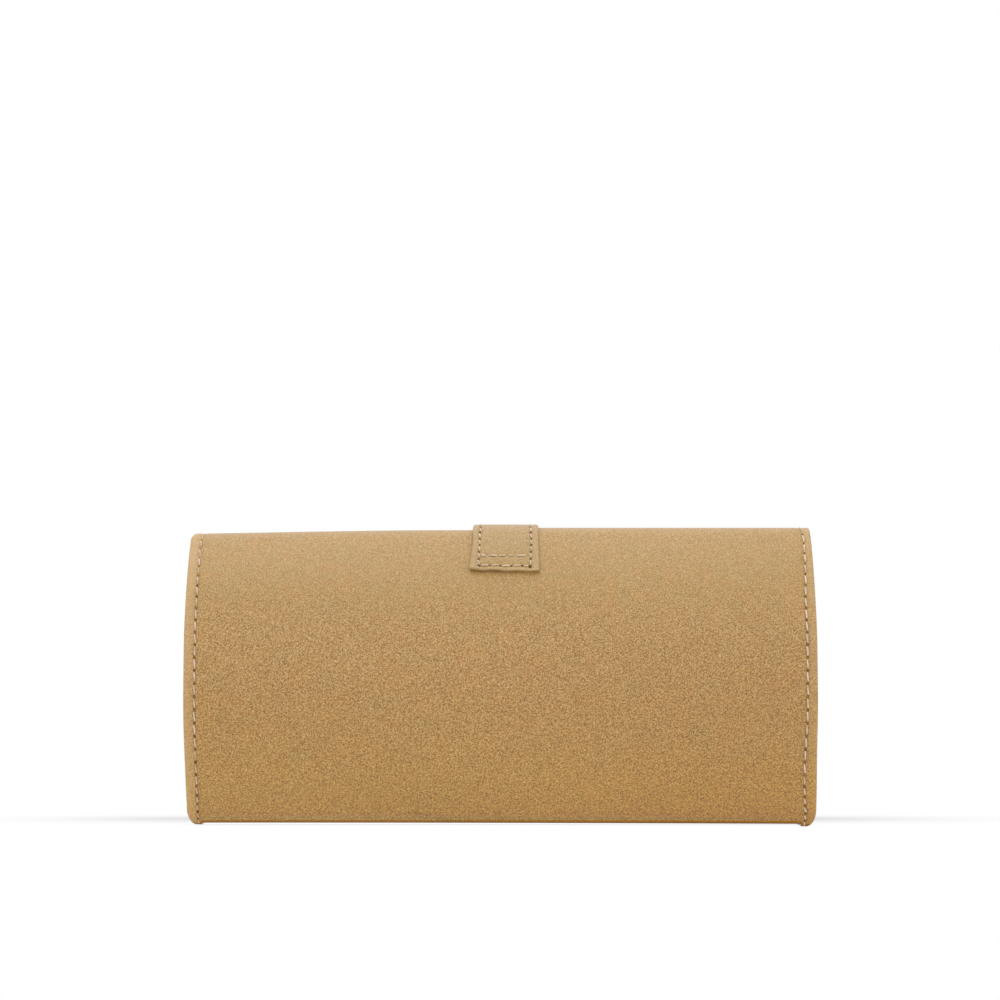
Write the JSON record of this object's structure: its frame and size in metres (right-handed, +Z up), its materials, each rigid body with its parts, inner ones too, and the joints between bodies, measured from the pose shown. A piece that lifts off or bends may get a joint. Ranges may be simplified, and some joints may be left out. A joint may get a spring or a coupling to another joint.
{
  "type": "wristlet wallet",
  "caption": "Long barrel-shaped soft leather clutch wallet with a flap, a snap closure strap sewn to its back, bellows sides, card pockets and a zipped coin divider.",
  "frame": {"origin": "on the surface the wallet stands on, under the middle of its bounding box", "axes": "+X along the wallet's length, -Y out of the flap's face, +Y out of the plain back, +Z up"},
  "size_m": [0.205, 0.0529, 0.0998],
  "materials": {
    "nubuck": "matte sand nubuck with a fine mottled nap",
    "pocket_leather": "smooth matte tan leather",
    "lining": "pale microsuede",
    "board": "grey-brown fibre board, hidden between leather and lining",
    "zip_tape": "woven herringbone tape",
    "thread": "pale cream waxed thread",
    "brass": "satin pale gold"
  },
  "bodies": {
    "root": {"back_panel": "nubuck", "back_board": "board", "back_lining": "lining", "base_panel": "nubuck", "base_board": "board", "base_lining": "lining", "gusset_left_back": "nubuck", "gusset_right_back": "nubuck", "strap_tab": "nubuck", "card_pocket_left_1": "pocket_leather", "card_pocket_left_2": "pocket_leather", "card_pocket_left_3": "pocket_leather", "card_pocket_left_4": "pocket_leather", "card_pocket_right_1": "pocket_leather", "card_pocket_right_2": "pocket_leather", "card_pocket_right_3": "pocket_leather", "card_pocket_right_4": "pocket_leather"},
    "front": {"front_panel": "nubuck", "front_board": "board", "front_lining": "lining", "front_slip_pocket": "pocket_leather", "gusset_left_front": "nubuck", "gusset_right_front": "nubuck", "snap_stud": "brass", "snap_post": "brass"},
    "flap": {"flap_panel": "nubuck", "flap_board": "board", "flap_lining": "lining", "strap_bridge": "nubuck"},
    "strap": {"strap_end": "nubuck", "strap_backing": "lining", "snap_cap": "brass", "snap_socket": "brass"},
    "divider": {"coin_pocket_front": "pocket_leather", "coin_pocket_back": "pocket_leather", "zip_tape_front": "zip_tape", "zip_tape_back": "zip_tape", "zip_teeth_front": "brass", "zip_teeth_back": "brass", "zip_stop_left": "brass", "zip_stop_right": "brass"},
    "slider": {"zip_slider": "brass", "zip_crown": "brass"},
    "pull": {"zip_pull": "brass"}
  },
  "joints": [
    {"name": "flap_hinge", "type": "hinge", "parent": "root", "child": "flap", "pos_m": [0, -0.00139, 0.1001], "axis": [-1, 0, 0], "range_deg": [0, 150]},
    {"name": "strap_lift", "type": "hinge", "parent": "flap", "child": "strap", "pos_m": [0, -0.01543, 0.08848], "axis": [-1, 0, 0], "range_deg": [0, 60]},
    {"name": "front_lean", "type": "hinge", "parent": "root", "child": "front", "pos_m": [0, -0.011, 0], "axis": [1, 0, 0], "range_deg": [0, 12]},
    {"name": "divider_lean", "type": "hinge", "parent": "root", "child": "divider", "pos_m": [0, 0.00061, 0.005], "axis": [1, 0, 0], "range_deg": [0, 6]},
    {"name": "zip_slide", "type": "slide", "parent": "divider", "child": "slider", "axis": [-1, 0, 0], "range_m": [0, 0.132]},
    {"name": "pull_swing", "type": "hinge", "parent": "slider", "child": "pull", "pos_m": [0.066, 0.00061, 0.0721], "axis": [0, 1, 0], "range_deg": [0, 170]}
  ],
  "couplings": [
    {"joint": "front_lean", "follows": "flap_hinge", "ratio": 0.08},
    {"joint": "divider_lean", "follows": "flap_hinge", "ratio": 0.04}
  ]
}
